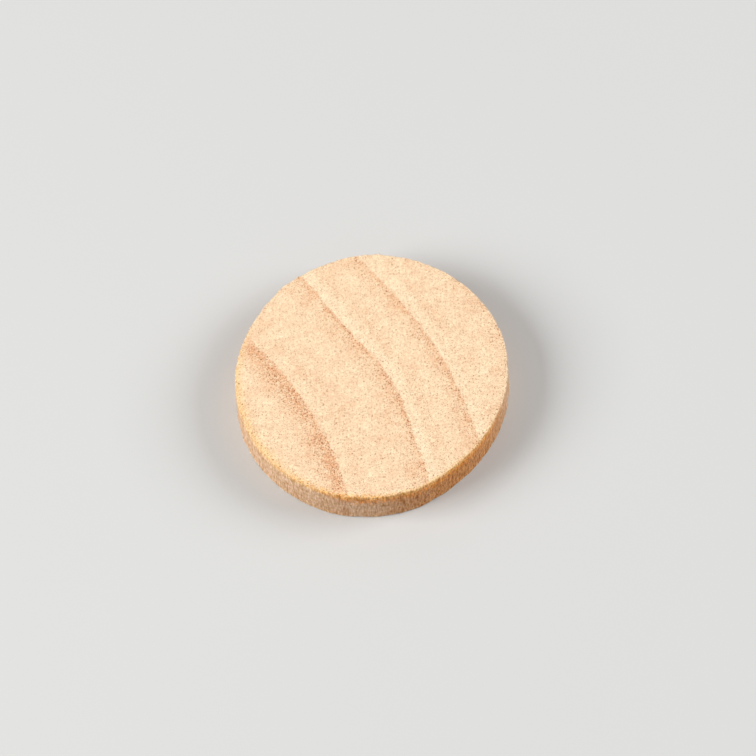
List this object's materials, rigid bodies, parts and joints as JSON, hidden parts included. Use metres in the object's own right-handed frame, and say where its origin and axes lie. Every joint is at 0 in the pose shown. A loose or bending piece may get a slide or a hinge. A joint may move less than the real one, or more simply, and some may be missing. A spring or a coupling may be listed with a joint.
{
  "type": "wooden game disc",
  "caption": "Flat round game piece cut from one solid piece of pale hardwood, with plain end-grain faces and a straight rim with softened edges.",
  "frame": {"origin": "centre of the lower face, which rests on the table", "axes": "+Z is the disc's axis, from the lower face to the upper one; the wood's growth rings curve about a pith that lies off the rim towards -X and -Y"},
  "size_m": [0.025, 0.025, 0.004],
  "materials": {
    "sanded_hardwood": "bare pale diffuse-porous hardwood, end grain on both faces and long grain round the rim, sanded, with no stain or varnish"
  },
  "bodies": {
    "root": {"disc": "sanded_hardwood"}
  },
  "joints": []
}
